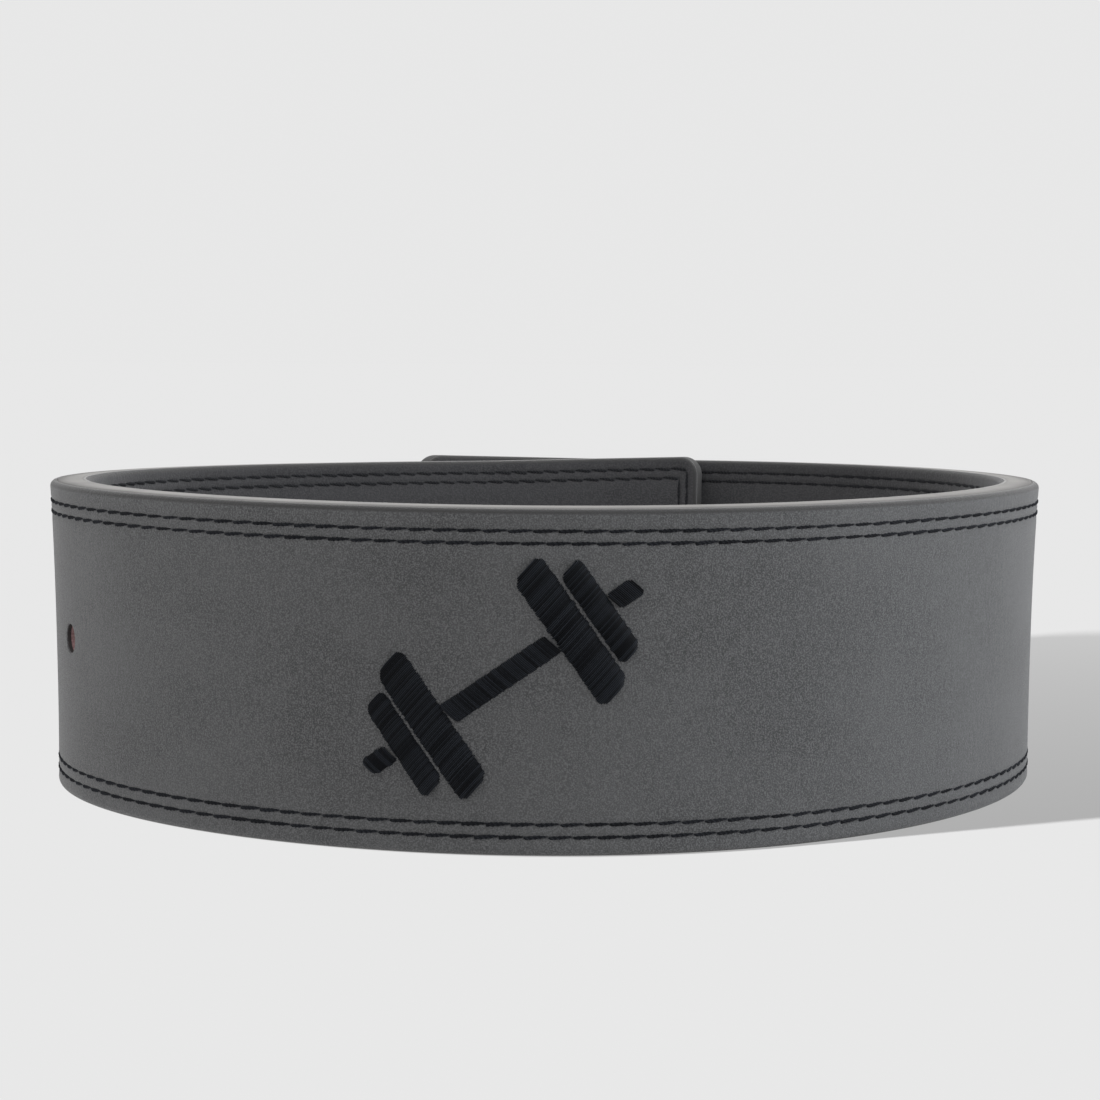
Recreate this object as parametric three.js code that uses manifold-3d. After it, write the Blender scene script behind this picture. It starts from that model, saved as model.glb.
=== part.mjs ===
import * as THREE from 'three';
import { mergeVertices } from 'three/addons/utils/BufferGeometryUtils.js';
import Module from 'manifold-3d';

// Weightlifting belt of the lever kind, fastened into a ring and standing on its lower edge.
// The strap is three glued layers of leather: a nubuck face, a thick core and a suede lining.
// It starts at its inner tip behind the ring, runs round by the left side, the front and the
// right side, and laps over its own start on the outside. Units are millimetres, +Z is up,
// and the front with the embroidered emblem faces -Y.

const wasm = await Module();
wasm.setup();

// Strap
const STRAP_WIDTH = 100;
const FACE_THICKNESS = 2.2;
const CORE_THICKNESS = 8;
const LINING_THICKNESS = 2.2;
const GLUE_LINE = 0.3;
const EDGE_ROUND = 1.9;
const EDGE_SETBACK = 0.2;
const TIP_CORNER = 7.3;

// Ring, seen from above, at the face and at half height
const RING_HALF_WIDTH = 164.8;
const RING_HALF_DEPTH = 147.2;
const RING_TURN = THREE.MathUtils.degToRad(22);
const RING_EGG = { alongX: -0.0162, alongY: 0.0086 };
const RING_SQUARENESS = 0.0052;
const EDGE_FLARE = 0.8;
const TOP_SPREAD = 2;
const FRONT_DIP = 1.3;

// Lap of the two ends
const INNER_TIP_ANGLE = THREE.MathUtils.degToRad(68);
const LAP_LENGTH = 113.5;
const LAP_GAP = 0.6;
const LAP_RUN = 160;
const TIP_LIFT = 2;
const LIFT_RUN = 90;

// Punched holes of the inner end
const HOLE_DIAMETER = 10;
const HOLE_COUNT = 9;
const HOLE_PITCH = 38;
const FIRST_HOLE = 57.6;
const HOLE_RISE = 1;

// Lever buckle: one steel casting, screwed to the outer end and hooked into a hole of the inner end
const BUCKLE_PLATE = { height: 60, thickness: 3, corner: 9, bevel: 0.8 };
const BUCKLE_LEVER = { length: 64, height: 38, thickness: 5, corner: 6, bevel: 1.2, inset: 8 };
const BUCKLE_GRIP_LENGTH = 58;
const BUCKLE_CLEARANCE = 0.3;
const LEVER_SINK = 0.5;
const THUMB_LENGTH = 16;
const THUMB_RISE = 6;
const HOOK_DIAMETER = 8;
const HOOK_REACH = 9;
const HOOK_TIP_CLEARANCE = 8;
const HOOK_MARGIN = 12.6;
const SCREW_HEAD = { diameter: 9, height: 1.8, spacing: 48, inset: 12 };

// Embroidered emblem: a plain tilted barbell of raised satin stitch
const EMBLEM_SHIFT = -15;
const EMBLEM_RISE = 1;
const EMBLEM_TILT = THREE.MathUtils.degToRad(35);
const EMBLEM_RAISE = 1.3;
const EMBLEM_SEAT = 0.25;
const EMBLEM_GAP = 0.5;
const EMBLEM_GRIP = { along: 36, across: 7, corner: 0.8 };
const EMBLEM_HEIGHT = 44;
// Shapes on each side of the grip, from the middle outwards, as shares of the emblem's height
const EMBLEM_SIDE = [
  { name: 'inner_plate', along: 0.25, across: 1, corner: 0.07 },
  { name: 'outer_plate', along: 0.18, across: 0.7, corner: 0.055 },
  { name: 'sleeve', along: 0.19, across: 0.14, corner: 0.035 },
];

// Fineness of the facets
const STRAP_STATIONS = 66;
const STRAP_CORNER_STATIONS = 4;
const FACE_ROWS = 5;
const HOLE_SIDES = 12;
const BUCKLE_STATIONS = 8;
const BUCKLE_CORNER_STATIONS = 4;
const EMBLEM_STATIONS = 4;
const EMBLEM_CORNER_STATIONS = 2;
const RING_SAMPLES = 3600;

const THICKNESS = FACE_THICKNESS + CORE_THICKNESS + LINING_THICKNESS + 2 * GLUE_LINE;
const LAP_SHIFT = (THICKNESS + LAP_GAP) / 2;
const UP = new THREE.Vector3(0, 0, 1);

// Ring path, an egg-shaped ellipse

function ringRadius(angle) {
  const turned = angle - RING_TURN;
  const ellipse = 1 / Math.hypot(Math.cos(turned) / RING_HALF_WIDTH, Math.sin(turned) / RING_HALF_DEPTH);
  const egg = RING_EGG.alongX * Math.cos(3 * angle) + RING_EGG.alongY * Math.sin(3 * angle);
  return ellipse * (1 + egg + RING_SQUARENESS * Math.cos(4 * angle));
}

function ringAt(angle) {
  const radius = ringRadius(angle);
  return new THREE.Vector3(radius * Math.cos(angle), radius * Math.sin(angle), 0);
}

// Distances along the ring from the inner tip, for angles over a turn and a half
const ringSamples = [{ angle: INNER_TIP_ANGLE, distance: 0 }];
for (let i = 1; i <= RING_SAMPLES; i += 1) {
  const last = ringSamples.at(-1);
  const angle = INNER_TIP_ANGLE + (3 * Math.PI * i) / RING_SAMPLES;
  const distance = last.distance + ringAt(angle).distanceTo(ringAt(last.angle));
  ringSamples.push({ angle, distance });
}

// Value of one key of the samples where another key reaches a target
function lookUp(given, target, wanted) {
  const after = Math.max(1, ringSamples.findIndex((sample) => sample[given] >= target));
  const [low, high] = [ringSamples[after - 1], ringSamples[after]];
  const share = (target - low[given]) / (high[given] - low[given]);
  return THREE.MathUtils.lerp(low[wanted], high[wanted], share);
}

const RING_LENGTH = lookUp('angle', INNER_TIP_ANGLE + 2 * Math.PI, 'distance');
const STRAP_LENGTH = RING_LENGTH + LAP_LENGTH;

// Level direction that points out of the ring
function outwardAt(distance) {
  const angle = lookUp('distance', distance, 'angle');
  const step = 1e-3;
  const along = ringAt(angle + step).sub(ringAt(angle - step)).normalize();
  return along.cross(UP);
}

// Point at a distance along the ring, a way out of its curve and a height
function ringPoint(distance, out, height) {
  const point = ringAt(lookUp('distance', distance, 'angle'));
  point.addScaledVector(outwardAt(distance), out);
  point.z = height;
  return point;
}

// Strap: how its ends shift and lift, and how its edges flare

function lapShift(distance) {
  const innerEnd = 1 - THREE.MathUtils.smoothstep(distance, LAP_LENGTH, LAP_LENGTH + LAP_RUN);
  const fromOuterTip = STRAP_LENGTH - distance;
  const outerEnd = 1 - THREE.MathUtils.smoothstep(fromOuterTip, LAP_LENGTH, LAP_LENGTH + LAP_RUN);
  return LAP_SHIFT * (outerEnd - innerEnd);
}

function fromTip(distance) {
  return Math.min(distance, STRAP_LENGTH - distance);
}

function tipLift(distance) {
  const share = Math.max(0, 1 - fromTip(distance) / LIFT_RUN);
  return TIP_LIFT * share ** 1.3;
}

function edgeFlare(height) {
  const fromMiddle = (2 * height) / STRAP_WIDTH - 1;
  return EDGE_FLARE * fromMiddle ** 2 + (TOP_SPREAD / 2) * fromMiddle;
}

// Height where a height on the flat strap comes to lie: the upper edge dips at the front
function standingHeight(distance, height) {
  const frontness = Math.max(0, -Math.sin(lookUp('distance', distance, 'angle'))) ** 2;
  return height * (1 - (FRONT_DIP / STRAP_WIDTH) * frontness) + tipLift(distance);
}

// Point of the strap, at a depth below its face
function strapPoint(distance, depth, height) {
  const out = lapShift(distance) + edgeFlare(height) - depth;
  return ringPoint(distance, out, standingHeight(distance, height));
}

// Drop of a rounded corner, a way in from the end
function cornerDrop(fromEnd, radius) {
  const inside = Math.max(0, radius - fromEnd);
  return radius - Math.sqrt(radius ** 2 - inside ** 2);
}

// Positions of the sections of a piece: close together round its corners, then even
function stations(start, end, corner, cornerCount, count) {
  const insets = [];
  for (let i = 0; i < cornerCount; i += 1) {
    insets.push(corner * (1 - Math.cos((Math.PI / 2) * (i / cornerCount))));
  }
  const even = [];
  for (let i = 0; i <= count; i += 1) {
    even.push(THREE.MathUtils.lerp(start + corner, end - corner, i / count));
  }
  const first = insets.map((inset) => start + inset);
  const last = insets.map((inset) => end - inset).reverse();
  return [...first, ...even, ...last];
}

// Evenly spaced [offset, height] points of one upright side of a section
function upright(offset, low, high, rows) {
  const points = [];
  for (let i = 0; i < rows; i += 1) {
    points.push([offset, THREE.MathUtils.lerp(low, high, i / (rows - 1))]);
  }
  return points;
}

// Closed bodies

function solidOf(positions, triangles) {
  return new wasm.Manifold(new wasm.Mesh({
    numProp: 3,
    vertProperties: new Float32Array(positions),
    triVerts: new Uint32Array(triangles),
  }));
}

function signedVolume(vertices, triangles) {
  let volume = 0;
  for (let i = 0; i < triangles.length; i += 3) {
    const [a, b, c] = triangles.slice(i, i + 3).map((index) => vertices[index]);
    volume += a.dot(b.clone().cross(c)) / 6;
  }
  return volume;
}

// Triangles that close a section, laced between its two sides from the bottom up
function lacedCap(front, back) {
  const frontIndex = (i) => i;
  const backIndex = (j) => front.length + back.length - 1 - j;
  const triangles = [];
  let i = 0;
  let j = 0;
  while (i < front.length - 1 || j < back.length - 1) {
    const climbFront = j === back.length - 1
      || (i < front.length - 1 && front[i + 1][1] <= back[j + 1][1]);
    if (climbFront) {
      triangles.push([frontIndex(i), frontIndex(i + 1), backIndex(j)]);
      i += 1;
    } else {
      triangles.push([backIndex(j + 1), backIndex(j), frontIndex(i)]);
      j += 1;
    }
  }
  return triangles;
}

// Body lofted through sections, each with a front and a back side of points that climb
function loft(sections, place) {
  const outlines = sections.map(({ front, back }) => [...front, ...back.toReversed()]);
  const vertices = outlines.flatMap((outline, row) => outline.map((point) => place(row, point)));
  const count = outlines[0].length;
  const triangles = [];
  for (let row = 0; row < outlines.length - 1; row += 1) {
    const here = row * count;
    const there = here + count;
    for (let i = 0; i < count; i += 1) {
      const next = (i + 1) % count;
      triangles.push(here + i, here + next, there + next);
      triangles.push(here + i, there + next, there + i);
    }
  }
  const lastRow = outlines.length - 1;
  for (const [a, b, c] of lacedCap(sections[0].front, sections[0].back)) {
    triangles.push(a, c, b);
  }
  for (const corners of lacedCap(sections[lastRow].front, sections[lastRow].back)) {
    triangles.push(...corners.map((corner) => lastRow * count + corner));
  }
  if (signedVolume(vertices, triangles) < 0) {
    triangles.reverse();
  }
  return solidOf(vertices.flatMap((vertex) => vertex.toArray()), triangles);
}

// Round rod between two points
function rod(start, end, radius, farRadius = radius) {
  const along = end.clone().sub(start);
  const cylinder = new THREE.CylinderGeometry(farRadius, radius, along.length(), HOLE_SIDES);
  cylinder.applyQuaternion(new THREE.Quaternion().setFromUnitVectors(
    new THREE.Vector3(0, 1, 0),
    along.normalize(),
  ));
  cylinder.translate(...start.clone().lerp(end, 0.5).toArray());
  cylinder.deleteAttribute('normal');
  cylinder.deleteAttribute('uv');
  const merged = mergeVertices(cylinder);
  return solidOf(merged.attributes.position.array, merged.index.array);
}

// Layers of the strap

const strapStations = stations(0, STRAP_LENGTH, TIP_CORNER, STRAP_CORNER_STATIONS, STRAP_STATIONS);

// Nubuck or suede layer: its shown side is rounded over at the edges and at the tips
function facingLayer(thickness, depthAt) {
  const round = Math.min(EDGE_ROUND, 0.85 * thickness);
  const slope = round * (1 - Math.SQRT1_2);
  const sections = strapStations.map((distance) => {
    const drop = cornerDrop(fromTip(distance), TIP_CORNER) + EDGE_SETBACK;
    const low = drop;
    const high = STRAP_WIDTH - drop;
    const endRound = cornerDrop(fromTip(distance), round);
    const front = [
      [depthAt(round), low],
      [depthAt(Math.max(endRound, slope)), low + slope],
      ...upright(depthAt(endRound), low + round, high - round, FACE_ROWS),
      [depthAt(Math.max(endRound, slope)), high - slope],
      [depthAt(round), high],
    ];
    return { front, back: upright(depthAt(thickness), low, high, FACE_ROWS) };
  });
  return loft(sections, (row, [depth, height]) => strapPoint(strapStations[row], depth, height));
}

function coreLayer() {
  const face = FACE_THICKNESS + GLUE_LINE;
  const sections = strapStations.map((distance) => {
    const low = cornerDrop(fromTip(distance), TIP_CORNER);
    const high = STRAP_WIDTH - low;
    return {
      front: upright(face, low, high, FACE_ROWS),
      back: upright(face + CORE_THICKNESS, low, high, FACE_ROWS),
    };
  });
  return loft(sections, (row, [depth, height]) => strapPoint(strapStations[row], depth, height));
}

// Holes for the hook, punched square to the strap and stopped short of the lapped outer end

function holeDistance(index) {
  return FIRST_HOLE + index * HOLE_PITCH;
}

function holePoint(distance, out) {
  const height = standingHeight(distance, STRAP_WIDTH / 2 + HOLE_RISE);
  return ringPoint(distance, lapShift(distance) + out, height);
}

const punches = [];
for (let i = 0; i < HOLE_COUNT; i += 1) {
  const distance = holeDistance(i);
  const mouth = holePoint(distance, LAP_GAP / 2);
  const exit = holePoint(distance, -THICKNESS - EDGE_FLARE);
  punches.push(rod(mouth, exit, HOLE_DIAMETER / 2));
}
const allPunches = wasm.Manifold.union(punches);

// Lever buckle

const hookHole = Math.ceil((LAP_LENGTH + HOOK_TIP_CLEARANCE - FIRST_HOLE) / HOLE_PITCH);
const hookDistance = holeDistance(hookHole);
const buckleEnd = hookDistance + HOOK_MARGIN;
const buckleStart = LAP_LENGTH - BUCKLE_GRIP_LENGTH;
const buckleMiddle = STRAP_WIDTH / 2 + HOLE_RISE;
const plateReach = edgeFlare(buckleMiddle + BUCKLE_PLATE.height / 2);
const plateBack = LAP_SHIFT + plateReach + BUCKLE_CLEARANCE;
const plateFace = plateBack + BUCKLE_PLATE.thickness;

// Curved plate with rounded corners, whose back follows the ring
function curvedPlate(start, end, shape, backAt) {
  const rows = stations(start, end, shape.corner, BUCKLE_CORNER_STATIONS, BUCKLE_STATIONS);
  const sections = rows.map((distance) => {
    const drop = cornerDrop(Math.min(distance - start, end - distance), shape.corner);
    const low = buckleMiddle - shape.height / 2 + drop;
    const high = buckleMiddle + shape.height / 2 - drop;
    const back = backAt(distance);
    const face = back + shape.thickness;
    const front = [
      [face - shape.bevel, low],
      [face, low + shape.bevel],
      [face, high - shape.bevel],
      [face - shape.bevel, high],
    ];
    return { front, back: upright(back, low, high, 2) };
  });
  return loft(sections, (row, [out, height]) => ringPoint(rows[row], out, height));
}

function leverBack(distance) {
  const leverStart = buckleStart + BUCKLE_LEVER.inset;
  const thumb = 1 - THREE.MathUtils.smoothstep(distance, leverStart, leverStart + THUMB_LENGTH);
  return plateFace - LEVER_SINK + THUMB_RISE * thumb;
}

function screwHead(distance, height) {
  const seat = ringPoint(distance, plateFace - LEVER_SINK, height);
  const top = ringPoint(distance, plateFace + SCREW_HEAD.height, height);
  return rod(seat, top, SCREW_HEAD.diameter / 2, SCREW_HEAD.diameter / 2 - SCREW_HEAD.height / 2);
}

function buckleBody() {
  const plate = curvedPlate(buckleStart, buckleEnd, BUCKLE_PLATE, () => plateBack);
  const leverStart = buckleStart + BUCKLE_LEVER.inset;
  const lever = curvedPlate(leverStart, leverStart + BUCKLE_LEVER.length, BUCKLE_LEVER, leverBack);
  const hookRoot = ringPoint(hookDistance, plateBack + BUCKLE_PLATE.thickness / 2, buckleMiddle);
  const hook = rod(hookRoot, holePoint(hookDistance, -HOOK_REACH), HOOK_DIAMETER / 2);
  const screws = [-1, 1].map((side) => screwHead(
    buckleStart + SCREW_HEAD.inset,
    buckleMiddle + (side * SCREW_HEAD.spacing) / 2,
  ));
  return wasm.Manifold.union([plate, lever, hook, ...screws]);
}

// Emblem: satin-stitched pads that follow the face

const emblemDistance = STRAP_LENGTH / 2 + EMBLEM_SHIFT;
const emblemHeight = STRAP_WIDTH / 2 + EMBLEM_RISE;

// Pad from one position to another along the bar, as wide across it as the shape says
function satinPad(shape, middle) {
  const start = middle - shape.along / 2;
  const end = middle + shape.along / 2;
  const rows = stations(start, end, shape.corner, EMBLEM_CORNER_STATIONS, EMBLEM_STATIONS);
  const sections = rows.map((along) => {
    const drop = cornerDrop(Math.min(along - start, end - along), shape.corner);
    const half = shape.across / 2 - drop;
    const shoulder = EMBLEM_SEAT + EMBLEM_RAISE / 2;
    const crown = EMBLEM_SEAT + EMBLEM_RAISE;
    const front = [[shoulder, -half], [crown, -half / 2], [crown, half / 2], [shoulder, half]];
    return { front, back: upright(EMBLEM_SEAT, -half, half, 4) };
  });
  const cos = Math.cos(EMBLEM_TILT);
  const sin = Math.sin(EMBLEM_TILT);
  return loft(sections, (row, [out, across]) => strapPoint(
    emblemDistance + rows[row] * cos - across * sin,
    -out,
    emblemHeight + rows[row] * sin + across * cos,
  ));
}

function emblemBodies() {
  const bodies = { emblem_grip: satinPad(EMBLEM_GRIP, 0) };
  for (const [side, sign] of [['left', -1], ['right', 1]]) {
    let edge = EMBLEM_GRIP.along / 2;
    for (const share of EMBLEM_SIDE) {
      const shape = {
        along: share.along * EMBLEM_HEIGHT,
        across: share.across * EMBLEM_HEIGHT,
        corner: share.corner * EMBLEM_HEIGHT,
      };
      const middle = edge + EMBLEM_GAP + shape.along / 2;
      bodies[`emblem_${side}_${share.name}`] = satinPad(shape, sign * middle);
      edge = middle + shape.along / 2;
    }
  }
  return bodies;
}

// Assembly

const nubuck = new THREE.MeshStandardMaterial({ color: 0x57575a, roughness: 0.92, metalness: 0 });
const dyedCore = new THREE.MeshStandardMaterial({ color: 0x8f8b89, roughness: 0.7, metalness: 0 });
const suede = new THREE.MeshStandardMaterial({ color: 0x434246, roughness: 0.97, metalness: 0 });
const blackThread = new THREE.MeshStandardMaterial({ color: 0x17191c, roughness: 0.55, metalness: 0 });
const blackSteel = new THREE.MeshStandardMaterial({ color: 0x2b2c2e, roughness: 0.42, metalness: 0.9 });

function namedMesh(name, solid, material) {
  const { vertProperties, triVerts } = solid.getMesh();
  const geometry = new THREE.BufferGeometry();
  geometry.setAttribute('position', new THREE.BufferAttribute(vertProperties, 3));
  geometry.setIndex(new THREE.BufferAttribute(triVerts, 1));
  geometry.computeVertexNormals();
  const mesh = new THREE.Mesh(geometry, material);
  mesh.name = name;
  return mesh;
}

const belt = new THREE.Group();
const face = facingLayer(FACE_THICKNESS, (depth) => depth);
const lining = facingLayer(LINING_THICKNESS, (depth) => THICKNESS - depth);
belt.add(namedMesh('outer_leather', face.subtract(allPunches), nubuck));
belt.add(namedMesh('leather_core', coreLayer().subtract(allPunches), dyedCore));
belt.add(namedMesh('suede_lining', lining.subtract(allPunches), suede));
belt.add(namedMesh('lever_buckle', buckleBody(), blackSteel));
for (const [name, solid] of Object.entries(emblemBodies())) {
  belt.add(namedMesh(name, solid, blackThread));
}

// The belt stands centred on the origin
const bounds = new THREE.Box3().setFromObject(belt, true);
const centre = bounds.getCenter(new THREE.Vector3());
belt.position.set(-centre.x, -centre.y, -bounds.min.z);

export default belt;
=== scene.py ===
import math

import bmesh
import bpy
import numpy as np
from mathutils import Matrix, Vector


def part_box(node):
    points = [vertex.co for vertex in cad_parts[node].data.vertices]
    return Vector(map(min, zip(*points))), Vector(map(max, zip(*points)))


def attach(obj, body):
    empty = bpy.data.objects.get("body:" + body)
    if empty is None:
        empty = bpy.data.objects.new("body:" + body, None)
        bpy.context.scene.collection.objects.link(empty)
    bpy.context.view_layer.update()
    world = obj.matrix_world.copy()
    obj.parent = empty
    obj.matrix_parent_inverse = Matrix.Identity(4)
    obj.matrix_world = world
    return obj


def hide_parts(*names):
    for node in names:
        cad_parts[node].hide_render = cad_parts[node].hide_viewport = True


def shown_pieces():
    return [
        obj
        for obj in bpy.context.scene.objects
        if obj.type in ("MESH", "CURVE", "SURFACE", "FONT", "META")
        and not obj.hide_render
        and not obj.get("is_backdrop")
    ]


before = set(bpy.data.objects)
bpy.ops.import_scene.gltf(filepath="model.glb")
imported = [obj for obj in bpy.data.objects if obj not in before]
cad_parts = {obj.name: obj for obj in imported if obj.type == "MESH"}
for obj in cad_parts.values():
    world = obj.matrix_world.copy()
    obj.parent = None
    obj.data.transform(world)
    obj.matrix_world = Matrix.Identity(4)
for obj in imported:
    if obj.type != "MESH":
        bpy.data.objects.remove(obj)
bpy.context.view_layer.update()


# Leather core of the strap, 8 mm thick.
# Veg-tanned leather, cut flat with round corners and sealed with warm grey paint along its edges.
# The strap is built flat, as it is sewn, and then bent into its ring with the ends lapped.

STRAP_WIDTH = 0.100
FACE_THICKNESS = 0.0022
CORE_THICKNESS = 0.008
GLUE_LINE = 0.0003
THICKNESS = CORE_THICKNESS + 2 * (FACE_THICKNESS + GLUE_LINE)
TIP_CORNER = 0.0073
EDGE_SETBACK = 0.0002
EDGE_ROUND = 0.0019
FRAME_STATIONS = 67

RING_HALF_WIDTH = 0.1648
RING_HALF_DEPTH = 0.1472
RING_TURN = math.radians(22)
RING_EGG = (-0.0162, 0.0086)
RING_SQUARENESS = 0.0052
EDGE_FLARE = 0.0008
TOP_SPREAD = 0.002
FRONT_DIP = 0.0013

INNER_TIP_ANGLE = math.radians(68)
LAP_LENGTH = 0.1135
LAP_GAP = 0.0006
LAP_RUN = 0.160
LAP_SHIFT = (THICKNESS + LAP_GAP) / 2
TIP_LIFT = 0.002
LIFT_RUN = 0.090
LIFT_CURVE = 1.3
PARED_DEPTH = 0.0005
PARED_RUN = 0.012
ANGLE_STEP = 0.001


def ring_at(angle):
    turned = angle - RING_TURN
    ellipse = 1 / np.hypot(np.cos(turned) / RING_HALF_WIDTH, np.sin(turned) / RING_HALF_DEPTH)
    egg = RING_EGG[0] * np.cos(3 * angle) + RING_EGG[1] * np.sin(3 * angle)
    radius = ellipse * (1 + egg + RING_SQUARENESS * np.cos(4 * angle))
    return np.stack([radius * np.cos(angle), radius * np.sin(angle)], -1)


ring_angles = INNER_TIP_ANGLE + np.linspace(0, 3 * math.pi, 10801)
ring_steps = np.linalg.norm(np.diff(ring_at(ring_angles), axis=0), axis=1)
ring_distances = np.concatenate([[0], np.cumsum(ring_steps)])
STRAP_LENGTH = np.interp(INNER_TIP_ANGLE + 2 * math.pi, ring_angles, ring_distances) + LAP_LENGTH


def eased(value, start, end):
    share = np.clip((value - start) / (end - start), 0, 1)
    return share * share * (3 - 2 * share)


def lap_shift(distance):
    inner_end = 1 - eased(distance, LAP_LENGTH, LAP_LENGTH + LAP_RUN)
    outer_end = 1 - eased(STRAP_LENGTH - distance, LAP_LENGTH, LAP_LENGTH + LAP_RUN)
    return LAP_SHIFT * (outer_end - inner_end)


# Where a point of the flat strap comes to lie: its distance from the inner tip, its height
# above the lower edge, and how far it stands out of the face. The upper edge is pared down
# a little towards the face.
def bend(flat):
    distance, height, out = np.moveaxis(np.asarray(flat, float), -1, 0)
    angle = np.interp(distance, ring_distances, ring_angles)
    along = ring_at(angle + ANGLE_STEP) - ring_at(angle - ANGLE_STEP)
    along /= np.linalg.norm(along, axis=-1, keepdims=True)
    outward = np.stack([along[..., 1], -along[..., 0]], -1)
    middle = 2 * height / STRAP_WIDTH - 1
    flare = EDGE_FLARE * middle**2 + TOP_SPREAD / 2 * middle
    reach = lap_shift(distance) + flare + out
    frontness = np.maximum(0, -np.sin(angle)) ** 2
    from_tip = np.minimum(distance, STRAP_LENGTH - distance)
    lift = TIP_LIFT * np.clip(1 - from_tip / LIFT_RUN, 0, 1) ** LIFT_CURVE
    pared = PARED_DEPTH * eased(height, STRAP_WIDTH - PARED_RUN, STRAP_WIDTH)
    pared *= np.clip(1 + out / THICKNESS, 0, 1)
    level = height * (1 - FRONT_DIP / STRAP_WIDTH * frontness) + lift - pared
    return np.concatenate([ring_at(angle) + outward * reach[..., None], level[..., None]], -1)


# The frame is centred on its own box, so the ring moves by what the two boxes differ
frame_distances = np.linspace(TIP_CORNER, STRAP_LENGTH - TIP_CORNER, FRAME_STATIONS)
frame_rim = STRAP_WIDTH - EDGE_SETBACK - EDGE_ROUND
frame_edge = bend([(distance, frame_rim, 0) for distance in frame_distances])
ring_shift = np.array(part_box("outer_leather")[0])[:2] - frame_edge.min(0)[:2]


def place_on_ring(flat):
    placed = bend(flat)
    placed[..., :2] += ring_shift
    return placed


SHOULDER = 0.0020
SHOULDER_TURNS = np.radians([0, 14, 28, 40, 52, 66, 78, 90])
SHOULDER_END = 0.0022
HOLE_LIP = 0.00035
LIP_TURNS = np.radians([90, 65, 40, 20, 0])
HOLE_RADIUS = 0.0046
HOLE_COUNT = 9
HOLE_PITCH = 0.038
FIRST_HOLE = 0.0576
HOLE_HEIGHT = 0.051
DYED_DEPTH = 0.0011
LAYER_GAP = 0.00006
PATCH_HALF = 0.008
PATCH_CELLS = 8
PATCH_RINGS = (0.7, 0.4, 0.15)
STATION_STEP = 0.0022
ROW_STEP = 0.0042
PLAIN_STEP = 0.015
PLAIN_INSET = 0.0135
RIM_LINES = 10
RIM_NOTCH = 0.00010
NOTCH_SPREAD = 0.0001
NOTCH_LINE = 0.00016
HIDE_WAVE = 0.00004
HIDE_WAVES = ((61, 47, 0), (97, -83, 1.7), (173, 29, 4.1))
SEAM_INSETS = {"front": (0.0060, 0.0097), "back": (0.0042, 0.0077)}
SEAM_DROP = 0.00047
SEAM_SINK = 0.00030
SEAM_SPREAD = 0.0008
SEAM_PRESS_SHADE_SPREAD = 0.00045
SHARP_ANGLE = math.radians(38)
hole_middles = [FIRST_HOLE + index * HOLE_PITCH for index in range(HOLE_COUNT)]
shoulder_insets = list(SHOULDER * (1 - np.cos(SHOULDER_TURNS)))
seam_offsets = np.array([-1.2, -0.7, -0.35, 0, 0.35, 0.7, 1.2]) / 1000


# Lines of points that follow the outline: round the shoulder, along both seams, then none
def edge_lines(sides):
    seam_lines = [inset + offset for side in sides for inset in SEAM_INSETS[side] for offset in seam_offsets]
    return shoulder_insets + [SHOULDER_END] + sorted(seam_lines) + [PLAIN_INSET]


def spaced(start, end, step):
    return list(np.linspace(start, end, max(2, round((end - start) / step) + 1)))


# Places along the strap where its sections lie, and heights of the lines of points on a side
def strap_stations():
    edge_insets = edge_lines(("front", "back"))
    places = list(edge_insets)
    for middle in hole_middles:
        places += spaced(places[-1], middle - PATCH_HALF, STATION_STEP)[1:]
        places += spaced(places[-1], middle + PATCH_HALF, 2 * PATCH_HALF / PATCH_CELLS)[1:]
    ends = [STRAP_LENGTH - inset for inset in reversed(edge_insets)]
    return np.array(places + spaced(places[-1], ends[0], STATION_STEP)[1:-1] + ends)


def side_rows(insets, step):
    low, high = HOLE_HEIGHT - PATCH_HALF, HOLE_HEIGHT + PATCH_HALF
    rows = list(insets) + spaced(insets[-1], low, step)[1:]
    rows += spaced(low, high, 2 * PATCH_HALF / PATCH_CELLS)[1:]
    rows += spaced(high, STRAP_WIDTH - insets[-1], step)[1:]
    return np.array(rows + [STRAP_WIDTH - inset for inset in reversed(insets[:-1])])


def round_drop(way, radius):
    inside = np.clip(radius - way, 0, radius)
    return radius - np.sqrt(radius**2 - inside**2)


# Distance in from the outline of the flat strap, whose corners are round
def inset_at(distance, height, drop=0):
    beside = np.abs(distance - STRAP_LENGTH / 2) - (STRAP_LENGTH / 2 - TIP_CORNER)
    above = np.abs(height + drop - STRAP_WIDTH / 2) - (STRAP_WIDTH / 2 - EDGE_SETBACK - TIP_CORNER)
    outside = np.hypot(np.maximum(beside, 0), np.maximum(above, 0))
    return TIP_CORNER - outside - np.minimum(np.maximum(beside, above), 0)


# Nearness to the seams, from 0 to 1 on them
def beside_seam(distance, height, spread, side):
    inset = inset_at(distance, height, SEAM_DROP)
    return sum(np.exp(-(((inset - seam) / spread) ** 2)) for seam in SEAM_INSETS.get(side, ()))


# How far a dressed surface lies below its level: round shoulders, round hole lips, sunk seams
# and the faint waves of a hide
def sunk_at(distance, height, side):
    inset = inset_at(distance, height)
    nearest = np.clip(np.round((distance - FIRST_HOLE) / HOLE_PITCH), 0, HOLE_COUNT - 1)
    beside_hole = distance - FIRST_HOLE - nearest * HOLE_PITCH
    from_hole = np.hypot(beside_hole, height - HOLE_HEIGHT) - HOLE_RADIUS
    sunk = round_drop(inset, SHOULDER) + round_drop(from_hole, HOLE_LIP)
    sunk += SEAM_SINK * beside_seam(distance, height, SEAM_SPREAD, side)
    waves = sum(np.sin(distance * along + height * up + start) for along, up, start in HIDE_WAVES)
    return sunk + HIDE_WAVE * waves * eased(inset, 0, 2 * SHOULDER)


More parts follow.
